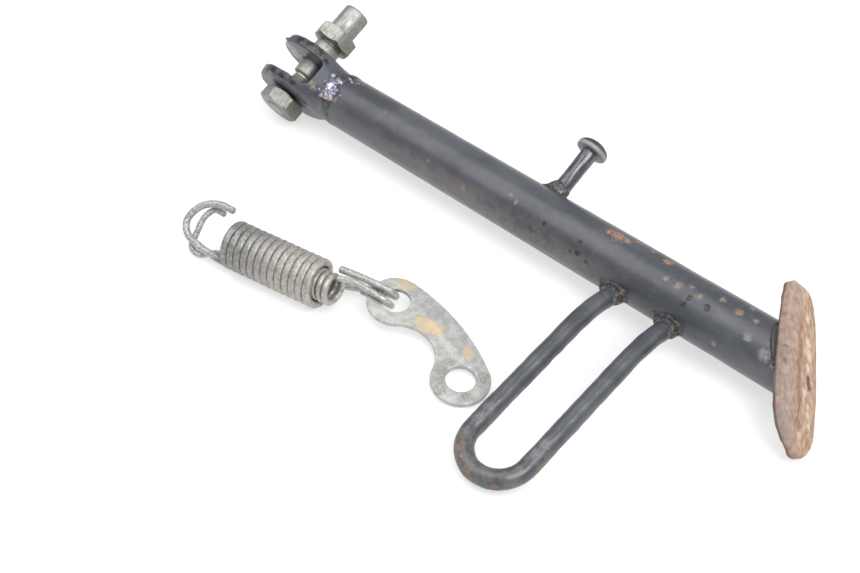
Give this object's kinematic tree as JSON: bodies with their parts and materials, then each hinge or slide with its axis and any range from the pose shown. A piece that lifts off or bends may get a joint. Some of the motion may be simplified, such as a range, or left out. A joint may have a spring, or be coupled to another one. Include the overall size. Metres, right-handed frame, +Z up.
{
  "type": "motorcycle kickstand",
  "caption": "Tubular side stand with forked pivot, bolt and nut, spring post, bent foot loop and curved foot plate, with loose nested return springs and link plate.",
  "frame": {"origin": "centre of the bounding box on the plane the parts lie on", "axes": "+X along the leg from pivot to foot, +Z up, +Y towards the bolt's hexagon in plan; the leg lies rolled about its own axis"},
  "size_m": [0.3157, 0.1574, 0.0423],
  "materials": {
    "black_paint": "semi-gloss black paint, scratched, with rust spots",
    "bolt_zinc": "dull worn zinc plating",
    "spring_steel": "tarnished spring wire",
    "link_zinc": "stained zinc plating",
    "foot_rust": "bare steel with brown rust",
    "weld_metal": "rusted weld bead"
  },
  "bodies": {
    "leg": {"leg_tube": "black_paint", "pivot_fork": "black_paint", "fork_weld": "weld_metal", "spring_post": "black_paint", "post_weld": "weld_metal", "foot_loop": "black_paint", "loop_weld_pivot_side": "weld_metal", "loop_weld_foot_side": "weld_metal", "foot_plate": "foot_rust", "foot_plate_weld": "weld_metal"},
    "pivot_bolt": {"pivot_bolt": "bolt_zinc"},
    "pivot_nut": {"pivot_nut": "bolt_zinc"},
    "inner_spring": {"inner_spring": "spring_steel"},
    "outer_spring": {"outer_spring": "spring_steel"},
    "link_plate": {"link_plate": "link_zinc"}
  },
  "joints": [
    {"name": "stand_swing", "type": "hinge", "parent": "leg", "child": "pivot_bolt", "pos_m": [-0.14033, 0.03787, 0.0185], "axis": [0, 0.9041, 0.4274], "range_deg": [0, 105]},
    {"name": "nut_unscrew", "type": "slide", "parent": "pivot_bolt", "child": "pivot_nut", "axis": [0, -0.9041, -0.4274], "range_m": [0, 0.007]},
    {"name": "spring_set_lift", "type": "slide", "parent": "leg", "child": "inner_spring", "axis": [0, 0, 1], "range_m": [0, 0.05]},
    {"name": "spring_stretch", "type": "slide", "parent": "inner_spring", "child": "outer_spring", "axis": [-0.9813, -0.1925, 0], "range_m": [0, 0.012], "stiffness_N_per_m": 6000, "deforming": ["outer_spring", "inner_spring"]},
    {"name": "link_swing", "type": "hinge", "parent": "inner_spring", "child": "link_plate", "pos_m": [-0.00703, -0.03433, 0.0082], "axis": [0.1146, -0.0249, 0.9931], "range_deg": [-40, 40]}
  ]
}
